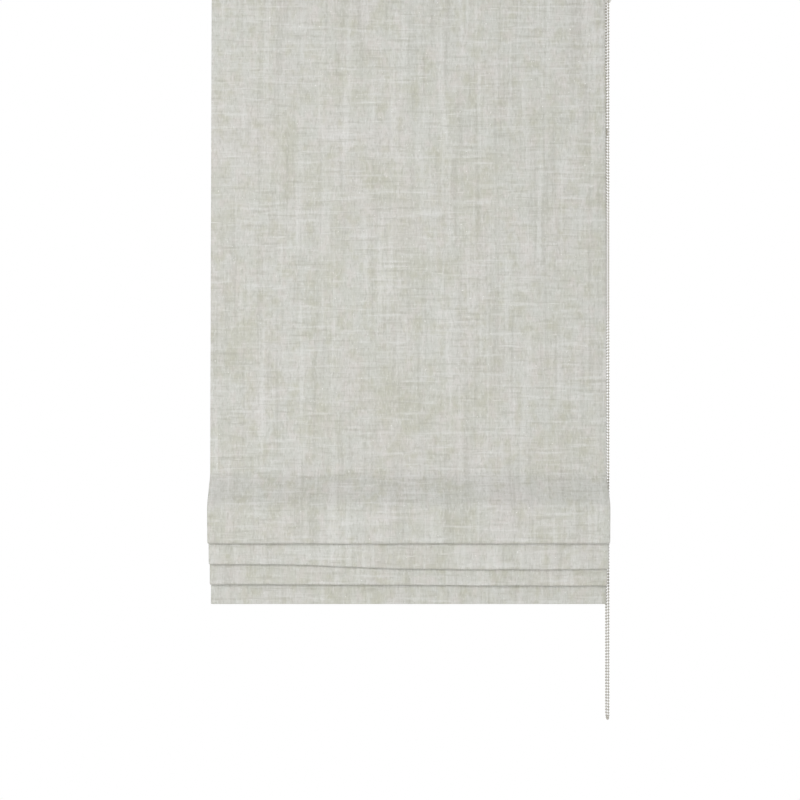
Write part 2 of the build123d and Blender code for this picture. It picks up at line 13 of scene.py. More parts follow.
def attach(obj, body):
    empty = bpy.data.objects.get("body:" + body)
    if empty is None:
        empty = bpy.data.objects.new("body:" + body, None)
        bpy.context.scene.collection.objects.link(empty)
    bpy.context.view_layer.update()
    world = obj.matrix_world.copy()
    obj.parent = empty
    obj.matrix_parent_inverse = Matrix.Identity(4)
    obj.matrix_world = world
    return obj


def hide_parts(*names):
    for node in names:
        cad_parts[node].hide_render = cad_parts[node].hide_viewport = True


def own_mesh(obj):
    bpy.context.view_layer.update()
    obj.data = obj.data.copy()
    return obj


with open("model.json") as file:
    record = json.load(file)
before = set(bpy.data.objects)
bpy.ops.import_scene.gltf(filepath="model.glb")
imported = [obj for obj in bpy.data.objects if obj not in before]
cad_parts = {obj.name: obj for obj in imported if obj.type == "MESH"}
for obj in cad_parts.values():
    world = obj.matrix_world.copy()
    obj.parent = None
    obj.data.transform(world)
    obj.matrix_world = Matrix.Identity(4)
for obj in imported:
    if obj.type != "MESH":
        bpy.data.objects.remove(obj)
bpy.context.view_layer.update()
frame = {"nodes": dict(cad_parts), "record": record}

LOG = logging.getLogger("roman_blind")

RAIL_BODY = "headrail_assembly"
STACK_BODY = "gathered_stack"
AXLE_BODY = "axle_assembly"

CLOTH_MAP = "cloth"  # the UV map of every sheet, in metres along and across the cut cloth
SORT_AXIS = Vector((1.0, 0.7236, 0.4371))  # askew, so that no two points of a round piece are level on it
WAVE_PERIOD = 0.314  # about how far apart the bands of a wave texture are at scale 1, in metres


class Ground(Enum):
    """What a weave is laid out on."""

    OBJECT = "object"
    CLOTH = "cloth"


def linear(code: str) -> tuple[float, float, float, float]:
    """Turn an sRGB hex colour into linear RGBA.

    Args:
        code: six hex digits.

    Returns:
        The colour as Blender's sockets take it.
    """
    parts = [int(code[i : i + 2], 16) / 255 for i in (0, 2, 4)]
    bent = [p / 12.92 if p <= 0.04045 else ((p + 0.055) / 1.055) ** 2.4 for p in parts]
    return (bent[0], bent[1], bent[2], 1.0)


def add_node(tree: bpy.types.NodeTree, kind: str, links: dict | None = None,
             **settings: object) -> bpy.types.Node:
    """Add a node, set its properties and sockets, and link what feeds it.

    Args:
        tree: the material's node tree.
        kind: the node's type name.
        links: input socket name or index to the output socket that feeds it.
        settings: properties of the node, and under inputs the values of its sockets.

    Returns:
        The new node.
    """
    node = tree.nodes.new(kind)
    inputs = settings.pop("inputs", {})
    for name, value in settings.items():
        setattr(node, name, value)
    for name, value in inputs.items():
        node.inputs[name].default_value = value
    for name, source in (links or {}).items():
        tree.links.new(source, node.inputs[name])
    return node


def new_material(name: str) -> tuple[bpy.types.Material, bpy.types.Node]:
    """Make an empty node material.

    Args:
        name: the finish's name.

    Returns:
        The material and its Principled shader.
    """
    material = bpy.data.materials.new(name)
    material.use_nodes = True
    material.node_tree.nodes.clear()
    output = add_node(material.node_tree, "ShaderNodeOutputMaterial")
    shader = add_node(material.node_tree, "ShaderNodeBsdfPrincipled")
    material.node_tree.links.new(shader.outputs["BSDF"], output.inputs["Surface"])
    return material, shader


@dataclass(frozen=True)
class Yarn:
    """One kind of yarn or cloud in the linen.

    Its grains are size metres across and along the cloth, and it comes in where the noise rises from low
    to high.
    """

    colour: str
    size: tuple[float, float]
    low: float
    high: float
    strength: float
    detail: float = 2.0
    raised: bool = False


@dataclass(frozen=True)
class SlubbyLinen:
    """Oatmeal linen in a plain weave with uneven, slubby yarn.

    The yarn's thick and thin places give fine upright streaks and rarer bright weft slubs, and the undyed
    fibre gives soft greenish and pinkish clouds.
    """

    base: str = "CECFC9"
    yarns: tuple[Yarn, ...] = (
        # Clouds of the undyed fibre, from a hand's breadth down to a thumb's
        Yarn("C0BFAF", (0.110, 0.150), 0.40, 0.74, 0.60),
        Yarn("D5D1CE", (0.090, 0.160), 0.42, 0.74, 0.60),
        Yarn("BFBEAD", (0.026, 0.036), 0.44, 0.74, 0.60),
        Yarn("D6D1CD", (0.020, 0.032), 0.46, 0.74, 0.60),
        # Bands where the warp is thicker or thinner over a long way
        Yarn("ABAAA0", (0.011, 0.240), 0.50, 0.72, 0.30),
        Yarn("E6E6E4", (0.014, 0.260), 0.50, 0.72, 0.36),
        # Soft weft bands
        Yarn("E2E2E0", (0.090, 0.0080), 0.50, 0.74, 0.46),
        Yarn("AFAEA3", (0.070, 0.0070), 0.50, 0.76, 0.42),
        # Single warp yarns are about 0.6 mm thick, so two or three together show as a streak
        Yarn("A3A297", (0.0038, 0.0140), 0.48, 0.74, 0.33, 2.0, True),
        Yarn("E9E9E7", (0.0036, 0.0120), 0.48, 0.74, 0.35, 2.0, True),
        Yarn("ADACA2", (0.0120, 0.0036), 0.50, 0.76, 0.24, 2.0, True),
        # Slubs and the flecks where they come to the surface
        Yarn("EAEAE6", (0.050, 0.0036), 0.64, 0.80, 0.75, 3.0, True),
        Yarn("F1F1EE", (0.0045, 0.0060), 0.74, 0.82, 0.80, 1.0, True),
    )
    roughness: float = 0.92
    sheen: float = 0.10

    def grain(self, tree: bpy.types.NodeTree, uv: bpy.types.NodeSocket, size: tuple[float, float],
              seed: float, detail: float = 2.0) -> bpy.types.NodeSocket:
        """Noise whose grains have a real size on the cloth.

        Args:
            tree: the node tree.
            uv: the cloth's own coordinates in metres.
            size: width and height of a grain in metres.
            seed: shifts the pattern.
            detail: octaves of the noise.

        Returns:
            The noise's value, about 0.5 on the whole.
        """
        place = add_node(tree, "ShaderNodeMapping", {"Vector": uv},
                         inputs={"Location": (seed, seed * 1.7, seed * 0.3),
                                 "Scale": (1 / size[0], 1 / size[1], 1.0)})
        made = add_node(tree, "ShaderNodeTexNoise", {"Vector": place.outputs["Vector"]},
                        inputs={"Scale": 1.0, "Detail": detail, "Roughness": 0.6})
        return made.outputs["Fac"]

    def layer(self, tree: bpy.types.NodeTree, under: bpy.types.NodeSocket, value: bpy.types.NodeSocket,
              yarn: Yarn) -> bpy.types.NodeSocket:
        """Lay one kind of yarn or cloud over the colours below.

        Args:
            tree: the node tree.
            under: the colour so far.
            value: the noise that says where it shows.
            yarn: its colour, strength and the noise values between which it comes in.

        Returns:
            The colour with it.
        """
        shown = add_node(tree, "ShaderNodeMapRange", {"Value": value}, interpolation_type="SMOOTHSTEP",
                         inputs={"From Min": yarn.low, "From Max": yarn.high, "To Max": yarn.strength})
        mixed = add_node(tree, "ShaderNodeMix", {0: shown.outputs["Result"], 6: under}, data_type="RGBA",
                         inputs={7: linear(yarn.colour)})
        return mixed.outputs[2]

    def build(self) -> bpy.types.Material:
        """Make the material on the cloth's UV map, which is in metres."""
        material, shader = new_material("slubby_linen")
        tree = material.node_tree
        uv = add_node(tree, "ShaderNodeUVMap", uv_map=CLOTH_MAP).outputs["UV"]
        plain = add_node(tree, "ShaderNodeRGB")
        plain.outputs[0].default_value = linear(self.base)
        colour = plain.outputs[0]
        heights = []
        for seed, yarn in enumerate(self.yarns, start=1):
            value = self.grain(tree, uv, yarn.size, 3.7 * seed, yarn.detail)
            colour = self.layer(tree, colour, value, yarn)
            if yarn.raised:
                heights.append(value)
        tree.links.new(colour, shader.inputs["Base Color"])
        height = heights[0]
        for other in heights[1:]:
            height = add_node(tree, "ShaderNodeMath", {0: height, 1: other}, operation="ADD").outputs[0]
        bump = add_node(tree, "ShaderNodeBump", {"Height": height},
                        inputs={"Strength": 0.4, "Distance": 0.0005})
        tree.links.new(bump.outputs["Normal"], shader.inputs["Normal"])
        shader.inputs["Roughness"].default_value = self.roughness
        shader.inputs["Sheen Weight"].default_value = self.sheen
        shader.inputs["Specular IOR Level"].default_value = 0.15
        return material


@dataclass(frozen=True)
class WovenCloth:
    """A fine even weave, as cotton lining or nylon tape, drawn by crossed waves."""

    name: str
    base: str
    shade: str
    thread: float = 0.0012
    depth: float = 0.0002
    ground: Ground = Ground.CLOTH
    roughness: float = 0.85

    def build(self) -> bpy.types.Material:
        """Make the material."""
        material, shader = new_material(self.name)
        tree = material.node_tree
        on_object = self.ground is Ground.OBJECT
        if on_object:
            place = add_node(tree, "ShaderNodeTexCoord").outputs["Object"]
        else:
            place = add_node(tree, "ShaderNodeUVMap", uv_map=CLOTH_MAP).outputs["UV"]
        waves = []
        for axis in ("X", "Z" if on_object else "Y"):
            wave = add_node(tree, "ShaderNodeTexWave", {"Vector": place}, bands_direction=axis,
                            inputs={"Scale": WAVE_PERIOD / self.thread, "Distortion": 0.6, "Detail": 1.0,
                                    "Detail Scale": 2.0})
            waves.append(wave.outputs["Fac"])
        woven = add_node(tree, "ShaderNodeMath", {0: waves[0], 1: waves[1]}, operation="MULTIPLY")
        cloud = add_node(tree, "ShaderNodeTexNoise", {"Vector": place}, inputs={"Scale": 14.0, "Detail": 3.0})
        blend = add_node(tree, "ShaderNodeMath", {0: woven.outputs[0], 1: cloud.outputs["Fac"]},
                         operation="MULTIPLY")
        colour = add_node(tree, "ShaderNodeMix", {"Factor": blend.outputs[0]}, data_type="RGBA")
        colour.inputs[6].default_value = linear(self.shade)
        colour.inputs[7].default_value = linear(self.base)
        tree.links.new(colour.outputs[2], shader.inputs["Base Color"])
        bump = add_node(tree, "ShaderNodeBump", {"Height": woven.outputs[0]},
                        inputs={"Strength": 0.3, "Distance": self.depth})
        tree.links.new(bump.outputs["Normal"], shader.inputs["Normal"])
        shader.inputs["Roughness"].default_value = self.roughness
        return material


@dataclass(frozen=True)
class MouldedPlastic:
    """Injection-moulded plastic with a fine spark-eroded grain and faint flow marks."""

    name: str
    base: str
    roughness: float = 0.45
    grain: float = 0.0006
    wear: str = "FFFFFF"
    transmission: float = 0.0
    ior: float = 1.49

    def build(self) -> bpy.types.Material:
        """Make the material."""
        material, shader = new_material(self.name)
        tree = material.node_tree
        place = add_node(tree, "ShaderNodeTexCoord").outputs["Object"]
        grain = add_node(tree, "ShaderNodeTexNoise", {"Vector": place},
                         inputs={"Scale": 1 / self.grain, "Detail": 2.0})
        flow = add_node(tree, "ShaderNodeTexNoise", {"Vector": place}, inputs={"Scale": 40.0, "Detail": 3.0})
        tint = add_node(tree, "ShaderNodeMapRange", {"Value": flow.outputs["Fac"]},
                        inputs={"From Min": 0.35, "From Max": 0.75, "To Min": 0.0, "To Max": 0.12})
        colour = add_node(tree, "ShaderNodeMix", {"Factor": tint.outputs["Result"]}, data_type="RGBA")
        colour.inputs[6].default_value = linear(self.base)
        colour.inputs[7].default_value = linear(self.wear)
        tree.links.new(colour.outputs[2], shader.inputs["Base Color"])
        rough = add_node(tree, "ShaderNodeMapRange", {"Value": grain.outputs["Fac"]},
                         inputs={"To Min": self.roughness - 0.06, "To Max": self.roughness + 0.08})
        tree.links.new(rough.outputs["Result"], shader.inputs["Roughness"])
        bump = add_node(tree, "ShaderNodeBump", {"Height": grain.outputs["Fac"]},
                        inputs={"Strength": 0.12, "Distance": 0.0001})
        tree.links.new(bump.outputs["Normal"], shader.inputs["Normal"])
        shader.inputs["IOR"].default_value = self.ior
        shader.inputs["Transmission Weight"].default_value = self.transmission
        return material


@dataclass(frozen=True)
class WorkedMetal:
    """Extruded or rolled metal: fine lines along its length over a satin surface."""

    name: str
    base: str
    roughness: float = 0.35
    line: float = 0.0008
    run: float = 0.15

    def build(self) -> bpy.types.Material:
        """Make the material."""
        material, shader = new_material(self.name)
        tree = material.node_tree
        place = add_node(tree, "ShaderNodeTexCoord").outputs["Object"]
        scaled = add_node(tree, "ShaderNodeMapping", {"Vector": place},
                          inputs={"Scale": (1 / self.run, 1 / self.line, 1 / self.line)})
        lines = add_node(tree, "ShaderNodeTexNoise", {"Vector": scaled.outputs["Vector"]},
                         inputs={"Scale": 1.0, "Detail": 2.0})
        tint = add_node(tree, "ShaderNodeMapRange", {"Value": lines.outputs["Fac"]},
                        inputs={"From Min": 0.3, "From Max": 0.7, "To Min": 0.0, "To Max": 0.18})
        colour = add_node(tree, "ShaderNodeMix", {"Factor": tint.outputs["Result"]}, data_type="RGBA")
        colour.inputs[6].default_value = linear(self.base)
        colour.inputs[7].default_value = linear("FFFFFF")
        tree.links.new(colour.outputs[2], shader.inputs["Base Color"])
        rough = add_node(tree, "ShaderNodeMapRange", {"Value": lines.outputs["Fac"]},
                         inputs={"To Min": self.roughness - 0.08, "To Max": self.roughness + 0.12})
        tree.links.new(rough.outputs["Result"], shader.inputs["Roughness"])
        shader.inputs["Metallic"].default_value = 1.0
        return material


@dataclass(frozen=True)
class Shape:
    """The blind's sizes in metres, as the frame has them."""

    width: float = 0.800
    hem: float = -1.268
    top: float = -0.005
    plane: float = -0.0221
    rod_plane: float = -0.0183
    cord_plane: float = -0.008
    seam: float = -0.036  # where the cloth leaves the rail
    top_rod: float = -0.992
    rod_pitch: float = 0.038
    rod_spacing: float = 0.290
    fold_bottoms: tuple[float, ...] = (0.128, 0.080, 0.041)
    fold_fronts: tuple[float, ...] = (0.048, 0.031, 0.016)
    fold_widths: tuple[float, ...] = (0.012, 0.010, 0.0086)
    front_lead: float = 0.012
    front_slope: float = 0.060
    crest_drop: float = 0.0038
    crest_bend: float = 0.0027
    hem_step: float = 0.0028
    hem_turn_up: float = 0.035
    hem_bend: float = 0.0022
    travel: float = 0.8
    side_hem: float = 0.022
    cords: tuple[float, ...] = (-0.3, 0.0, 0.3)

    @property
    def gathered(self) -> list[float]:
        """Heights of the gathered rods."""
        return [self.top_rod - self.rod_pitch * n for n in range(4)]

    @property
    def flat(self) -> list[float]:
        """Heights of the rods in the flat cloth, from the top."""
        return [self.top_rod + self.rod_spacing * n for n in (3, 2, 1)]


class ClothPath:
    """The cloth's line in the YZ plane, rounded at its bends and measured along its length."""

    def __init__(self, corners: Sequence[tuple[float, float]], bends: Sequence[float], step: float) -> None:
        """Round the corners and space points along the line.

        Args:
            corners: the line's corner points as (y, z).
            bends: a radius for each inner corner.
            step: about how far apart the points are.
        """
        points = [Vector(corners[0])]
        for before, corner, after, bend in zip(corners, corners[1:], corners[2:], bends):
            points += self.rounded(Vector(before), Vector(corner), Vector(after), bend)
        points.append(Vector(corners[-1]))
        self.along = [0.0]
        for a, b in zip(points, points[1:]):
            self.along.append(self.along[-1] + (b - a).length)
        self.points = points
        self.length = self.along[-1]
        self.stations = [0.0]
        for low, high in zip(self.along, self.along[1:]):
            parts = max(1, math.ceil((high - low) / step))
            if high - low > 1e-7:
                self.stations += [low + (high - low) * n / parts for n in range(1, parts + 1)]

    @staticmethod
    def rounded(before: Vector, corner: Vector, after: Vector, bend: float) -> list[Vector]:
        """Points round one corner.

        Args:
            before: the point before it.
            corner: the corner.
            after: the point after it.
            bend: the arc's radius.

        Returns:
            Points on the arc, which meets both runs smoothly.
        """
        one = (before - corner).normalized()
        two = (after - corner).normalized()
        half = one.angle(two) / 2
        reach = bend / math.tan(half)
        centre = corner + (one + two).normalized() * (bend / math.sin(half))
        start = corner + one * reach - centre
        end = corner + two * reach - centre
        turn = start.angle_signed(end)
        count = max(4, round(abs(turn) / 0.2))
        return [centre + Matrix.Rotation(-turn * n / count, 2) @ start for n in range(count + 1)]

    def at(self, distance: float) -> tuple[Vector, Vector]:
        """The point and the sideways direction at a distance along the line.

        Args:
            distance: how far along, in metres.

        Returns:
            The point and the unit normal towards the lining.
        """
        distance = min(max(distance, 0.0), self.length)
        low, high = 0, len(self.along) - 1
        while high - low > 1:
            middle = (low + high) // 2
            if self.along[middle] <= distance:
                low = middle
            else:
                high = middle
        span = max(self.along[high] - self.along[low], 1e-9)
        point = self.points[low].lerp(self.points[high], (distance - self.along[low]) / span)
        run = (self.points[high] - self.points[low]).normalized()
        return point, Vector((-run.y, run.x))


@dataclass
class Cloth:
    """The linen, its lining and the rod pockets, with sizes in metres."""

    shape: Shape
    linen: bpy.types.Material
    lining: bpy.types.Material
    face_shift: float = -0.0005
    lining_shift: float = 0.0003
    hem_shift: float = 0.0010
    linen_thickness: float = 0.0007
    lining_thickness: float = 0.0004
    columns: int = 120
    edge_columns: int = 8
    head_step: float = 0.006
    flat_step: float = 0.008
    fold_step: float = 0.007
    lining_inset: float = 0.006
    lining_end: float = 0.0255  # above the hem, where the turned-up linen covers it
    pocket_inset: float = 0.011
    pocket_radius: float = 0.0033
    pocket_crease: float = 0.00016
    front_bend: float = 0.030
    crest_lean: float = 45.0  # degrees
    leg_bend: float = 0.009
    hem_roll: float = 0.0016  # cloth taken up by the turn of a side hem
    hem_bulge: float = 0.0008
    bow: float = 0.0022
    bow_span: float = 0.12  # how far from a rod the cloth bows freely
    flare: float = 0.003
    flare_middle: float = 0.55
    fold_flare: float = 0.00135
    fold_flare_drop: float = 0.2
    middle_slope: float = 0.0052
    low_slope: float = 0.0016
    ripple: float = 0.0011
    fine_ripple: float = 0.0005

    def fold_corners(self) -> tuple[list[tuple[float, float]], list[float]]:
        """Corner points and bends of the folded cloth, from the top gathered rod to the hem."""
        s = self.shape
        lean = math.radians(self.crest_lean)
        sine, cosine = math.sin(lean), math.cos(lean)
        leaving = s.top_rod - s.front_lead
        corners = [(s.plane, s.top_rod), (s.plane, leaving)]
        corners.append((s.plane - s.fold_fronts[0], leaving - s.front_slope))
        bends = [self.front_bend, self.front_bend]
        for n, bottom in enumerate(s.fold_bottoms):
            front = s.plane - s.fold_fronts[n]
            back = front + s.fold_widths[n]
            low = s.hem + bottom
            crest_y = s.rod_plane - sine * s.crest_drop
            crest_z = s.gathered[n + 1] - cosine * s.crest_drop
            rising = (crest_y - cosine * s.crest_bend, crest_z + sine * s.crest_bend)
            falling = (crest_y + cosine * s.crest_bend, crest_z - sine * s.crest_bend)
            last = n == len(s.fold_bottoms) - 1
            after = falling[0] - s.hem_step if last else s.plane - s.fold_fronts[n + 1]
            turn = 0.48 * s.fold_widths[n]
            corners += [(front, low), (back, low), (back, rising[1] - (rising[0] - back) / math.tan(lean))]
            corners += [rising, falling, (after, falling[1] - (falling[0] - after) / math.tan(lean))]
            leg = self.leg_bend / (n + 1)
            bends += [turn, turn, leg, 0.9 * s.crest_bend, 0.9 * s.crest_bend, leg]
        corners.append((falling[0] - s.hem_step, s.hem))
        return corners, bends

    def hem_corners(self) -> tuple[list[tuple[float, float]], list[float]]:
        """The folded cloth's corners with the hem turned up round the bottom bar."""
        s = self.shape
        corners, bends = self.fold_corners()
        y = corners[-1][0]
        low = s.hem + self.linen_thickness / 2 + 0.0001
        corners[-1] = (y, low)
        corners += [(y + 2 * s.hem_bend, low), (y + 2 * s.hem_bend, s.hem + s.hem_turn_up)]
        return corners, bends + [0.95 * s.hem_bend] * 2

    def drift(self, x: float, y: float, z: float) -> float:
        """How far the cloth strays forward or back of its place, in metres.

        The rods hold it flat, so it bows only between them, and the folds sway more the further they stand
        out.

        Args:
            x: place across the width.
            y: depth, which is negative in front.
            z: height.

        Returns:
            The shift along Y.
        """
        s = self.shape
        if z < s.top_rod - s.front_lead:
            return self.bow * self.forwardness(y) * noise.noise(Vector((x * 4.0, z * 5.0, 6.0)))
        held = min(abs(z - height) for height in (*s.flat, s.top_rod, s.seam))
        free = min(1.0, held / self.bow_span)
        wave = noise.noise(Vector((x * 2.6, z * 2.3, 4.0)))
        wave += 0.4 * noise.noise(Vector((x * 8.0, z * 3.5, 9.0)))
        return -self.bow * free * free * (0.35 + wave)

    def forwardness(self, y: float) -> float:
        """0 where the cloth lies against the rods, and 1 where a fold stands well out in front of them."""
        out = min(1.0, max(0.0, (self.shape.plane - y - 0.005) / 0.011))
        return out * out * (3 - 2 * out)

    def fold_sway(self, x: float, y: float, z: float) -> float:
        """How far the folds hang up or down from level along the width, in metres.

        Args:
            x: place across the width.
            y: depth.
            z: height.

        Returns:
            The shift along Z.
        """
        s = self.shape
        if z > s.top_rod - s.front_lead:
            return 0.0
        middle = math.exp(-(((z - s.hem - s.fold_bottoms[1]) / 0.018) ** 2))
        low = math.exp(-(((z - s.hem - s.fold_bottoms[2]) / 0.014) ** 2))
        slope = -self.middle_slope * math.tanh((x + 0.13) / 0.11) * middle
        slope -= self.low_slope * math.tanh(x / 0.2) * low
        ripple = self.ripple * noise.noise(Vector((x * 9.0, z * 18.0, 2.0)))
        ripple += self.fine_ripple * noise.noise(Vector((x * 34.0, z * 30.0, 7.0)))
        return self.forwardness(y) * (slope + ripple)

    def edge(self, z: float) -> float:
        """How much wider each half of the cloth is at a height: it flares a little towards the folds."""
        s = self.shape
        share = (s.top - z) / (s.top - s.top_rod)
        if z >= s.top_rod:
            return self.flare * (share - self.flare_middle)
        return self.fold_flare * max(0.0, 1 - (s.top_rod - z) / self.fold_flare_drop)

    def place(self, path: ClothPath, distance: float, across: float, shift: float) -> Vector:
        """Where one point of a sheet lies.

        Args:
            path: the cloth's line.
            distance: how far along it.
            across: place along the width, past the edge where it is in the side hem.
            shift: how far the sheet lies from the line, towards the lining.

        Returns:
            The point.
        """
        point, normal = path.at(distance)
        half = self.shape.width / 2
        beyond = abs(across) - half
        if beyond > 0:
            turn = min(1.0, beyond / self.hem_roll)
            shift += (self.hem_shift - self.face_shift) * (1 - math.cos(math.pi * turn)) / 2
            reach = half + self.hem_bulge * math.sin(math.pi * turn) - max(0.0, beyond - self.hem_roll)
            across = math.copysign(reach, across)
        spot = point + normal * shift
        across *= 1 + self.edge(spot.y) / half
        lift = self.fold_sway(across, spot.x, spot.y)
        forward = self.drift(across, spot.x, spot.y)
        return Vector((across, spot.x + forward, spot.y + lift))

    def sheet(self, name: str, path: ClothPath, half: float, shift: float, start: float,
              thickness: float, material: bpy.types.Material) -> bpy.types.Object:
        """Lay a grid along the path and across the width.

        Args:
            name: the piece's name.
            path: the cloth's line.
            half: half the cut width, side hems included.
            shift: how far the sheet lies from the line, towards the lining.
            start: how far below the cloth's top edge the path starts, for the weave to run on.
            thickness: the cloth's thickness.
            material: its finish.

        Returns:
            The piece.
        """
        built = bmesh.new()
        rows = len(path.stations) - 1
        grid = bmesh.ops.create_grid(built, x_segments=self.columns, y_segments=rows, size=1.0)
        uv = built.loops.layers.uv.new(CLOTH_MAP)
        cuts: dict[bmesh.types.BMVert, tuple[float, float]] = {}
        edge = self.shape.width / 2
        for vert in grid["verts"]:
            across, distance = vert.co.x * half, path.stations[round((1 - vert.co.y) / 2 * rows)]
            if half > edge:
                across = self.spread(vert.co.x, half)
            cuts[vert] = (across, distance)
            vert.co = self.place(path, distance, across, shift)
        for face in built.faces:
            for loop in face.loops:
                across, distance = cuts[loop.vert]
                loop[uv].uv = (across, -(start + distance))
        bmesh.ops.recalc_face_normals(built, faces=built.faces)
        piece = finish_mesh(built, name, material)
        solid = piece.modifiers.new("thickness", "SOLIDIFY")
        solid.thickness = thickness
        solid.offset = 0.0
        return piece

    def spread(self, share: float, half: float) -> float:
        """Space the columns so that the side hems' turns get columns of their own.

        Args:
            share: place across the cut, from -1 to 1.
            half: half the cut width.

        Returns:
            The place in metres.
        """
        edge = self.shape.width / 2
        last = self.edge_columns / self.columns * 2
        inner = 1 - last
        size = abs(share)
        if size <= inner:
            return math.copysign(size / inner * edge, share)
        beyond = (size - inner) / last
        return math.copysign(edge + beyond**1.8 * (half - edge), share)

    def straight(self, low: float, high: float, step: float) -> ClothPath:
        """A plumb stretch of the cloth."""
        return ClothPath([(self.shape.plane, high), (self.shape.plane, low)], [], step)

    def build(self) -> None:
        """Make the sheets and the pockets."""
        s = self.shape
        head_drop = s.top - s.seam
        flat_drop = s.top - s.top_rod
        layers = (
            ("linen", "face_fabric", s.width / 2 + s.side_hem, self.face_shift,
             self.linen_thickness, self.linen),
            ("lining", "lining", s.width / 2 - self.lining_inset, self.lining_shift,
             self.lining_thickness, self.lining),
        )
        for name, node, half, shift, thickness, finish in layers:
            head = self.sheet(f"{name}_head", self.straight(s.seam, s.top, self.head_step), half, shift, 0.0,
                              thickness, finish)
            plain = self.straight(s.top_rod, s.seam, self.flat_step)
            flat = self.sheet(f"{name}_flat", plain, half, shift, head_drop, thickness, finish)
            if node == "face_fabric":
                corners, bends = self.hem_corners()
            else:
                corners, bends = self.fold_corners()
                corners[-1] = (corners[-1][0], s.hem + self.lining_end)
            path = ClothPath(corners, bends, self.fold_step)
            folds = self.sheet(f"{name}_folds", path, half, shift, flat_drop, thickness, finish)
            for piece, length, body in ((head, head_drop, RAIL_BODY), (flat, s.seam - s.top_rod, RAIL_BODY),
                                        (folds, path.length, STACK_BODY)):
                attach(piece, body)
                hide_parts(node)
            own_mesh(flat)
            LOG.info("%s: %.3f m wide, %.3f m of folds", name, 2 * half, path.length)
        self.pockets()

    def pockets(self) -> None:
        """Make the rod pockets, which ride with their rods."""
        s = self.shape
        bodies = [f"flat_rod_{n}" for n in (1, 2, 3)] + [STACK_BODY] * 4
        half = s.width / 2 - self.pocket_inset
        radius = self.pocket_radius
        for number, (z, body) in enumerate(zip(s.flat + s.gathered, bodies), start=1):
            built = tube_mesh(radius, 2 * half, 20, 60)
            bmesh.ops.rotate(built, verts=built.verts, matrix=Matrix.Rotation(math.pi / 2, 3, "Y"))
            bmesh.ops.translate(built, verts=built.verts, vec=(0, s.rod_plane, z))
            uv = built.loops.layers.uv.new(CLOTH_MAP)
            for vert in built.verts:
                out = Vector((0, vert.co.y - s.rod_plane, vert.co.z - z)).normalized()
                vert.co += out * self.pocket_crease * noise.noise(vert.co * 60.0)
            for face in built.faces:
                for loop in face.loops:
                    spot = loop.vert.co
                    loop[uv].uv = (spot.x, math.atan2(spot.z - z, spot.y - s.rod_plane) * radius)
            bmesh.ops.recalc_face_normals(built, faces=built.faces)
            piece = finish_mesh(built, f"rod_pocket_{number}", self.lining)
            solid = piece.modifiers.new("thickness", "SOLIDIFY")
            solid.thickness = self.lining_thickness
            solid.offset = 1.0
            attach(piece, body)
            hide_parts("lining")
        LOG.info("rod pockets: %d", number)


def tube_mesh(radius: float, length: float, segments: int, rings: int) -> bmesh.types.BMesh:
    """An open tube along Z, centred on the origin.

    Args:
        radius: its radius.
        length: its length.
        segments: faces round it.
        rings: faces along it.

    Returns:
        The mesh under construction.
    """
    built = bmesh.new()
    bmesh.ops.create_cone(built, segments=segments, radius1=radius, radius2=radius, depth=length,
                          cap_ends=False)
    uprights = [edge for edge in built.edges
                if abs(edge.verts[0].co.z - edge.verts[1].co.z) > length / 2]
    bmesh.ops.subdivide_edges(built, edges=uprights, cuts=rings - 1)
    return built


def settle_order(built: bmesh.types.BMesh) -> None:
    """Put points and faces in order of place: some operators give them in another order each run.

    Args:
        built: the mesh under construction.
    """
    built.verts.sort(key=lambda vert: vert.co.dot(SORT_AXIS))
    built.faces.sort(key=lambda face: face.calc_center_median().dot(SORT_AXIS))


def add_copies(built: bmesh.types.BMesh, small: bmesh.types.BMesh, places: Sequence[Matrix]) -> None:
    """Add copies of one small mesh to another.

    Args:
        built: the mesh under construction.
        small: the mesh to copy, which is freed.
        places: where each copy goes.
    """
    settle_order(small)
    copied = bpy.data.meshes.new("copied")
    small.to_mesh(copied)
    small.free()
    before = Matrix.Identity(4)
    for place in places:
        copied.transform(place @ before.inverted())
        built.from_mesh(copied)
        before = place
    bpy.data.meshes.remove(copied)


def finish_mesh(built: bmesh.types.BMesh, name: str, material: bpy.types.Material,
                smooth: bool = True) -> bpy.types.Object:
    """Turn a bmesh into a named piece with its finish.

    Args:
        built: the mesh under construction, which is freed.
        name: the piece's name.
        material: its finish.
        smooth: whether its faces are shaded smooth.

    Returns:
        The new object, linked to the scene.
    """
    mesh = bpy.data.meshes.new(name)
    for face in built.faces:
        face.smooth = smooth
    for edge in built.edges:
        edge.smooth = not edge.is_boundary
    built.to_mesh(mesh)
    built.free()
    mesh.materials.append(material)
    piece = bpy.data.objects.new(name, mesh)
    bpy.context.scene.collection.objects.link(piece)
    return piece


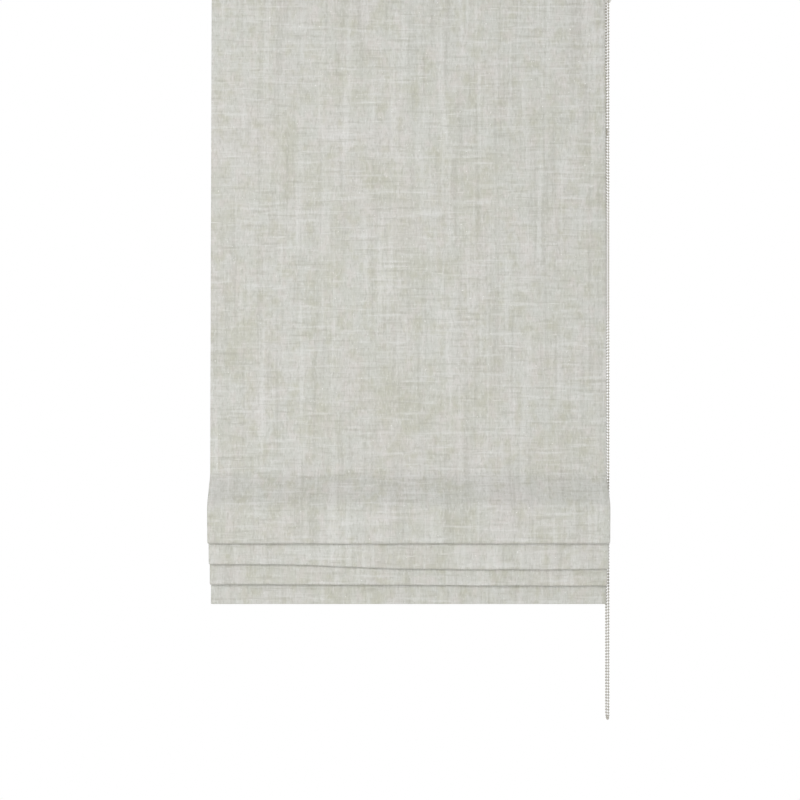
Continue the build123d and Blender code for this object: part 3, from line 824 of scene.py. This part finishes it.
@dataclass
class BeadChain:
    """The endless chain of moulded beads, over the sprocket and down to its loose bottom loop."""

    finish: bpy.types.Material
    plane: float = 0.407
    radius: float = 0.01432
    axle: float = -0.0195
    bottom: float = -1.508
    bead: float = 0.00225
    string: float = 0.0006
    pitch: float = 0.006
    swing: float = 0.0008
    upright: float = 0.06  # the plumb stretch below the sprocket
    front_swing_height: float = -0.75
    back_swing_height: float = -0.70
    beads_over: int = 7

    def route(self) -> list[tuple[float, float, float]]:
        """The chain's points, down its front run, round the bottom and up its back run."""
        low = self.bottom + self.bead
        near = low + 2 * self.radius
        return [
            (self.plane, -self.radius, self.axle),
            (self.plane, -self.radius, self.axle - self.upright),
            (self.plane, -self.radius - self.swing, self.front_swing_height),
            (self.plane, -self.radius, near),
            (self.plane, -self.radius, low),
            (self.plane, self.radius, low),
            (self.plane, self.radius, near),
            (self.plane, self.radius - self.swing, self.back_swing_height),
            (self.plane, self.radius, self.axle - self.upright),
            (self.plane, self.radius, self.axle),
        ]

    def line(self) -> list[Vector]:
        """The smooth line that the route's spline gives."""
        curve = bpy.data.curves.new("chain_route", "CURVE")
        curve.dimensions = "3D"
        curve.resolution_u = 24
        spline = curve.splines.new("NURBS")
        points = self.route()
        spline.points.add(len(points) - 1)
        for point, place in zip(spline.points, points):
            point.co = (*place, 1.0)
        spline.order_u = 3
        spline.use_endpoint_u = True
        holder = bpy.data.objects.new("chain_route", curve)
        mesh = bpy.data.meshes.new_from_object(holder)
        line = [v.co.copy() for v in mesh.vertices]
        bpy.data.objects.remove(holder)
        bpy.data.curves.remove(curve)
        bpy.data.meshes.remove(mesh)
        return line

    def beads(self, name: str, spots: Sequence[Vector]) -> bpy.types.Object:
        """Beads at given places, on a thin string.

        Args:
            name: the piece's name.
            spots: the beads' centres, in order.

        Returns:
            The piece.
        """
        built = bmesh.new()
        bead = bmesh.new()
        bmesh.ops.create_uvsphere(bead, u_segments=8, v_segments=6, radius=self.bead)
        add_copies(built, bead, [Matrix.Translation(spot) for spot in spots])
        link = bmesh.new()
        bmesh.ops.create_cone(link, segments=6, radius1=self.string, radius2=self.string,
                              depth=self.pitch - 1.6 * self.bead, cap_ends=True)
        places = []
        for a, b in zip(spots, spots[1:]):
            turn = (b - a).to_track_quat("Z", "Y").to_matrix().to_4x4()
            places.append(Matrix.Translation((a + b) / 2) @ turn)
        add_copies(built, link, places)
        return finish_mesh(built, name, self.finish)

    def build(self) -> None:
        """Make the chain's hanging run, and the beads that lie on the sprocket."""
        line = self.line()
        along = [0.0]
        for a, b in zip(line, line[1:]):
            along.append(along[-1] + (b - a).length)
        count = int(along[-1] / self.pitch)
        spots = []
        index = 0
        for n in range(count + 1):
            distance = min(n * along[-1] / count, along[-1])
            while index < len(along) - 2 and along[index + 1] < distance:
                index += 1
            share = (distance - along[index]) / max(along[index + 1] - along[index], 1e-9)
            spots.append(line[index].lerp(line[index + 1], share))
        hanging = self.beads("bead_chain_run", spots)
        steps = self.beads_over
        arc = [Vector((self.plane, -self.radius * math.cos(math.pi * n / (steps + 1)),
                       self.axle + self.radius * math.sin(math.pi * n / (steps + 1))))
               for n in range(1, steps + 1)]
        over = self.beads("bead_chain_over_sprocket", arc)
        for piece in (hanging, over):
            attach(piece, RAIL_BODY)
            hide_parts("bead_chain")
        LOG.info("bead chain: %d beads over %.3f m", count, along[-1])


@dataclass
class LiftCords:
    """The braided lift cords and their turns on the drums."""

    shape: Shape
    finish: bpy.types.Material
    radius: float = 0.0007
    start: float = -0.0251
    end: float = -1.118
    drum_radius: float = 0.0073
    axle: float = -0.0195
    turns_end: float = 0.0128
    turns_length: float = 0.019
    strand_segments: int = 8
    strand_rings: int = 700
    plait: float = 0.006
    ridge: float = 0.12  # of the cord's radius
    wound_steps: int = 32

    def cord(self, name: str, x: float) -> bpy.types.Object:
        """A taut cord with the soft ridges of its braid.

        Args:
            name: the piece's name.
            x: its place along the width.

        Returns:
            The piece.
        """
        built = tube_mesh(self.radius, self.start - self.end, self.strand_segments, self.strand_rings)
        for vert in built.verts:
            out = Vector((vert.co.x, vert.co.y, 0))
            around = math.atan2(out.y, out.x)
            vert.co += out * self.ridge * math.sin(2 * around + vert.co.z * math.tau / self.plait)
        middle = (self.start + self.end) / 2
        bmesh.ops.translate(built, verts=built.verts, vec=(x, self.shape.cord_plane, middle))
        bmesh.ops.holes_fill(built, edges=[e for e in built.edges if e.is_boundary])
        bmesh.ops.recalc_face_normals(built, faces=built.faces)
        return finish_mesh(built, name, self.finish)

    def build(self) -> None:
        """Make the three cords and their windings."""
        winding = bmesh.new()
        for name, x in zip(("left", "middle", "right"), self.shape.cords):
            piece = self.cord(f"braided_cord_{name}", x)
            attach(piece, RAIL_BODY)
            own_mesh(piece)
            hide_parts(f"lift_cord_{name}")
            turns = int(self.turns_length / (2 * self.radius))
            for turn in range(turns):
                at = x + self.turns_end - self.turns_length + (turn + 0.5) * self.turns_length / turns
                top = (at, 0, self.axle + self.drum_radius + self.radius)
                ring = bmesh.ops.create_circle(winding, segments=6, radius=self.radius,
                                               matrix=Matrix.Translation(top))
                bmesh.ops.rotate(winding, verts=ring["verts"], cent=top,
                                 matrix=Matrix.Rotation(math.pi / 2, 3, "X"))
                edges = list(dict.fromkeys(e for v in ring["verts"] for e in v.link_edges))
                bmesh.ops.spin(winding, geom=ring["verts"] + edges, cent=(at, 0, self.axle), axis=(1, 0, 0),
                               angle=math.tau, steps=self.wound_steps, use_merge=True)
        bmesh.ops.recalc_face_normals(winding, faces=winding.faces)
        settle_order(winding)
        wound = finish_mesh(winding, "cord_windings", self.finish)
        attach(wound, AXLE_BODY)
        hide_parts("cord_turns")
        LOG.info("lift cords: %d, %.3f m each below the rail", len(self.shape.cords), self.start - self.end)


@dataclass
class Finishes:
    """Every finish of the CAD pieces, by the record's slot."""

    by_slot: dict[str, bpy.types.Material] = field(default_factory=dict)

    def build(self) -> None:
        """Make the finishes and dress the CAD pieces with them."""
        plastics = (
            MouldedPlastic("white_nylon", "E6E5E0"),
            MouldedPlastic("grey_acetal", "A3A3A0", roughness=0.5),
            MouldedPlastic("cream_acetal", "DAD8D0", roughness=0.35),
            MouldedPlastic("dark_nylon", "5B5B5C", roughness=0.5, wear="8A8A8A"),
            MouldedPlastic("latch_nylon", "DFDED8"),
            MouldedPlastic("clear_polycarbonate", "E9ECEA", roughness=0.14, transmission=0.75, ior=1.585),
            MouldedPlastic("soft_vinyl", "DCDAD3", roughness=0.6),
            MouldedPlastic("pultruded_rod", "E2E3DA", roughness=0.4),
        )
        metals = (
            WorkedMetal("anodised_aluminium", "CFCFCC", 0.38),
            WorkedMetal("mill_aluminium", "C2C2BF", 0.45),
            WorkedMetal("zinc_steel", "B9BCBE", 0.32),
        )
        tapes = (
            WovenCloth("hook_tape_weave", "EFEEE9", "B9B7AE", 0.0018, 0.0006, Ground.OBJECT),
            WovenCloth("loop_tape_weave", "F0EEE6", "C9C6BC", 0.0014, 0.0006, Ground.OBJECT),
        )
        made = {finish.name: finish.build() for finish in (*plastics, *metals, *tapes)}
        self.by_slot = {
            "aluminium_extrusion": made["anodised_aluminium"],
            "white_moulding": made["white_nylon"],
            "grey_moulding": made["grey_acetal"],
            "drum_moulding": made["cream_acetal"],
            "sprocket_moulding": made["dark_nylon"],
            "zinc_steel": made["zinc_steel"],
            "latch_moulding": made["latch_nylon"],
            "hook_tape": made["hook_tape_weave"],
            "loop_tape": made["loop_tape_weave"],
            "glass_fibre": made["pultruded_rod"],
            "rod_cap_vinyl": made["soft_vinyl"],
            "clear_guide": made["clear_polycarbonate"],
            "bar_aluminium": made["mill_aluminium"],
            "bar_cap_vinyl": made["soft_vinyl"],
        }
        dressed = 0
        for part in frame["record"]["subparts"]:
            finish = self.by_slot.get(part["material_slot"])
            piece = frame["nodes"][part["node"]]
            if finish is None:
                continue
            if not piece.material_slots:
                piece.data.materials.append(finish)
            for place in piece.material_slots:
                place.material = finish
            dressed += 1
        LOG.info("dressed %d pieces", dressed)


@dataclass
class Studio:
    """A plain pale floor, a white surround, soft light and the camera."""

    shape: Shape
    distance: float = 2.6
    millimetres_a_pixel: float = 2.03
    frame_pixels: int = 800
    middle_pixel: float = 408.5
    hem_pixel: float = 604.0
    floor: float = -2.0

    def camera(self) -> None:
        """Put the camera straight in front, at the height that the photograph was taken from."""
        data = bpy.data.cameras.new("camera")
        camera = bpy.data.objects.new("camera", data)
        bpy.context.scene.collection.objects.link(camera)
        scale = self.millimetres_a_pixel / 1000
        half = self.frame_pixels / 2
        data.sensor_width = 36.0
        data.lens = data.sensor_width * self.distance / (self.frame_pixels * scale)
        data.clip_end = 50.0
        height = self.shape.hem + (self.hem_pixel - half) * scale
        camera.location = ((half - self.middle_pixel) * scale, self.shape.plane - self.distance, height)
        camera.rotation_euler = (math.pi / 2, 0.0, 0.0)
        bpy.context.scene.camera = camera

    def light(self, name: str, place: tuple[float, float, float], aim: tuple[float, float, float],
              size: float, power: float) -> None:
        """Add a square soft light.

        Args:
            name: its name.
            place: where it stands.
            aim: what it points at.
            size: its side.
            power: its power in watts.
        """
        data = bpy.data.lights.new(name, "AREA")
        data.size = size
        data.energy = power
        lamp = bpy.data.objects.new(name, data)
        bpy.context.scene.collection.objects.link(lamp)
        lamp.location = place
        lamp.rotation_euler = (Vector(aim) - Vector(place)).to_track_quat("-Z", "Y").to_euler()

    def surround(self) -> None:
        """White world for the camera and for reflections, and a dimmer one that lights the object."""
        world = bpy.data.worlds.new("surround")
        bpy.context.scene.world = world
        world.use_nodes = True
        tree = world.node_tree
        tree.nodes.clear()
        output = add_node(tree, "ShaderNodeOutputWorld")
        white = linear("FFFFFF")
        lit = add_node(tree, "ShaderNodeBackground", inputs={"Color": white, "Strength": 0.44})
        seen = add_node(tree, "ShaderNodeBackground", inputs={"Color": white, "Strength": 1.0})
        path = add_node(tree, "ShaderNodeLightPath")
        first = add_node(tree, "ShaderNodeMath",
                         {0: path.outputs["Is Camera Ray"], 1: path.outputs["Is Glossy Ray"]},
                         operation="MAXIMUM")
        both = add_node(tree, "ShaderNodeMath",
                        {0: first.outputs[0], 1: path.outputs["Is Transmission Ray"]},
                        operation="MAXIMUM")
        mixed = add_node(tree, "ShaderNodeMixShader",
                         {0: both.outputs[0], 1: lit.outputs[0], 2: seen.outputs[0]})
        tree.links.new(mixed.outputs[0], output.inputs["Surface"])

    def stage(self) -> None:
        """The floor, pale to the light and as white as the surround to the camera."""
        built = bmesh.new()
        bmesh.ops.create_grid(built, x_segments=1, y_segments=1, size=6.0,
                              matrix=Matrix.Translation((0, 0, self.floor)))
        material, shader = new_material("pale_floor")
        shader.inputs["Base Color"].default_value = linear("F4F4F2")
        shader.inputs["Roughness"].default_value = 0.9
        tree = material.node_tree
        output = next(node for node in tree.nodes if node.type == "OUTPUT_MATERIAL")
        white = add_node(tree, "ShaderNodeEmission", inputs={"Color": linear("FFFFFF"), "Strength": 1.0})
        path = add_node(tree, "ShaderNodeLightPath")
        mixed = add_node(tree, "ShaderNodeMixShader",
                         {0: path.outputs["Is Camera Ray"], 1: shader.outputs[0], 2: white.outputs[0]})
        tree.links.new(mixed.outputs[0], output.inputs["Surface"])
        floor = finish_mesh(built, "floor", material, smooth=False)

    def build(self) -> None:
        """Set the whole studio up."""
        bpy.context.scene.view_settings.view_transform = "Standard"
        self.camera()
        self.surround()
        self.stage()
        self.light("front_key", (-1.3, -3.5, 0.10), (0, 0, -0.8), 1.2, 58.0)
        self.light("front_fill", (1.4, -3.4, -1.3), (0, 0, -0.8), 1.8, 17.0)
        self.light("back_fill", (0.3, 3.0, 0.2), (0, 0, -0.7), 2.0, 60.0)


def main() -> None:
    """Build the blind and the studio round it."""
    logging.basicConfig(level=logging.INFO, format="%(name)s %(message)s")
    shape = Shape()
    Finishes().build()
    linen = SlubbyLinen().build()
    lining = WovenCloth("cotton_lining", "E6E1D4", "D2CCBD").build()
    cord = MouldedPlastic("braided_polyester", "E4E1D8", roughness=0.7, grain=0.0004).build()
    beads = MouldedPlastic("acetal_beads", "B9B5AB", roughness=0.35).build()
    frame["nodes"]["chain_connector"].data.materials.clear()
    frame["nodes"]["chain_connector"].data.materials.append(beads)
    Cloth(shape, linen, lining).build()
    BeadChain(beads).build()
    LiftCords(shape, cord).build()
    Studio(shape).build()


if __name__ == "__main__":
    main()
